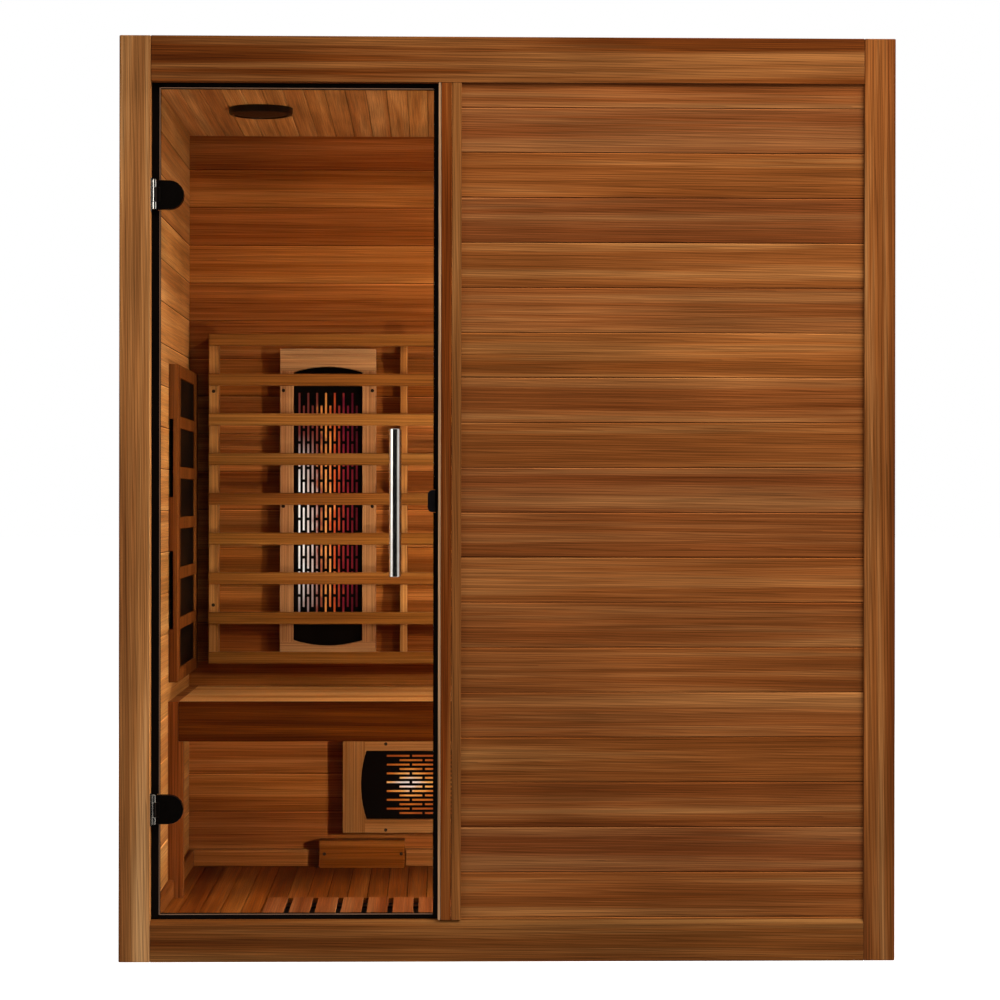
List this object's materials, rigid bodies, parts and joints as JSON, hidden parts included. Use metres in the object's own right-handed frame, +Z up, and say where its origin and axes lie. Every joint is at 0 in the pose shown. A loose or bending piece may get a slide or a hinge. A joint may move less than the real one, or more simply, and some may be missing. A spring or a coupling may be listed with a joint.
{
  "type": "infrared_sauna_cabin",
  "caption": "Infrared sauna cabin in reddish cedar with a frameless glass door, a bench, a slatted backrest and glowing wall heaters",
  "frame": {"origin": "centre of the cabin's footprint, on the ground", "axes": "+Z up, +Y from the door towards the back wall, +X to the right as seen from the front"},
  "size_m": [1.6, 1.2455, 1.905],
  "materials": {
    "cedar_outer": "oiled, satin",
    "cedar_lining": "oiled, satin",
    "cedar_floor": "oiled, satin",
    "cedar_bench": "sanded, satin",
    "cedar_heater_frame": "oiled, satin",
    "cedar_grate": "sanded, unoiled",
    "plywood": "bare",
    "roof_board": "satin",
    "door_glass": "clear, tempered",
    "black_rubber": "matte",
    "polished_steel": "polished",
    "black_chrome": "polished dark",
    "black_plastic": "satin",
    "lamp_lens": "frosted",
    "grey_steel": "satin",
    "carbon_sheet": "matte",
    "grey_plastic": "satin",
    "button_black": "satin",
    "black_enamel": "satin black",
    "quartz_glow": "glowing quartz"
  },
  "bodies": {
    "cabin": {"back_left_heater_element": "quartz_glow", "back_left_heater_frame": "cedar_heater_frame", "back_left_heater_grille": "black_enamel", "back_right_heater_element": "quartz_glow", "back_right_heater_frame": "cedar_heater_frame", "back_right_heater_grille": "black_enamel", "backrest": "cedar_bench", "base_platform": "plywood", "bench_fascia": "cedar_bench", "bench_left_support": "cedar_bench", "bench_right_support": "cedar_bench", "bench_seat": "cedar_bench", "cable_cover": "cedar_heater_frame", "calf_heater_element": "quartz_glow", "calf_heater_frame": "cedar_heater_frame", "calf_heater_grille": "black_enamel", "ceiling_lamp": "lamp_lens", "ceiling_lining": "cedar_lining", "control_panel": "grey_plastic", "door_seal": "black_rubber", "floor_deck": "cedar_floor", "floor_heater_grate": "cedar_grate", "floor_heater_panel": "carbon_sheet", "front_bottom_rail": "cedar_outer", "front_cladding": "cedar_outer", "front_left_stile": "cedar_outer", "front_lining": "cedar_lining", "front_mullion": "cedar_outer", "front_right_stile": "cedar_outer", "front_top_rail": "cedar_outer", "latch_magnet": "black_plastic", "left_cladding": "cedar_outer", "left_heater_frame": "cedar_heater_frame", "left_heater_panel": "carbon_sheet", "left_lining": "cedar_lining", "left_speaker": "black_plastic", "lower_hinge_leaf": "polished_steel", "lower_hinge_pin": "polished_steel", "power_box": "grey_steel", "rear_cladding": "cedar_outer", "rear_left_post": "cedar_outer", "rear_lining": "cedar_lining", "rear_right_post": "cedar_outer", "right_cladding": "cedar_outer", "right_heater_frame": "cedar_heater_frame", "right_heater_panel": "carbon_sheet", "right_lining": "cedar_lining", "right_speaker": "black_plastic", "roof_panel": "roof_board", "upper_hinge_leaf": "polished_steel", "upper_hinge_pin": "polished_steel"},
    "door": {"door_glass": "door_glass", "upper_hinge_clamp": "black_chrome", "lower_hinge_clamp": "black_chrome", "outer_handle": "polished_steel", "inner_handle": "polished_steel", "latch_strike": "black_plastic"},
    "down_button": {"down_button": "button_black"},
    "power_button": {"power_button": "button_black"},
    "up_button": {"up_button": "button_black"}
  },
  "joints": [
    {"name": "door_hinge", "type": "hinge", "parent": "cabin", "child": "door", "pos_m": [-0.7282, -0.5919, 0.9455], "axis": [0, 0, -1], "range_deg": [0, 110]},
    {"name": "down_button_press", "type": "slide", "parent": "cabin", "child": "down_button", "axis": [0, -1, 0], "range_m": [0, 0.0015], "stiffness_N_per_m": 300},
    {"name": "power_button_press", "type": "slide", "parent": "cabin", "child": "power_button", "axis": [0, -1, 0], "range_m": [0, 0.0015], "stiffness_N_per_m": 300},
    {"name": "up_button_press", "type": "slide", "parent": "cabin", "child": "up_button", "axis": [0, -1, 0], "range_m": [0, 0.0015], "stiffness_N_per_m": 300}
  ]
}
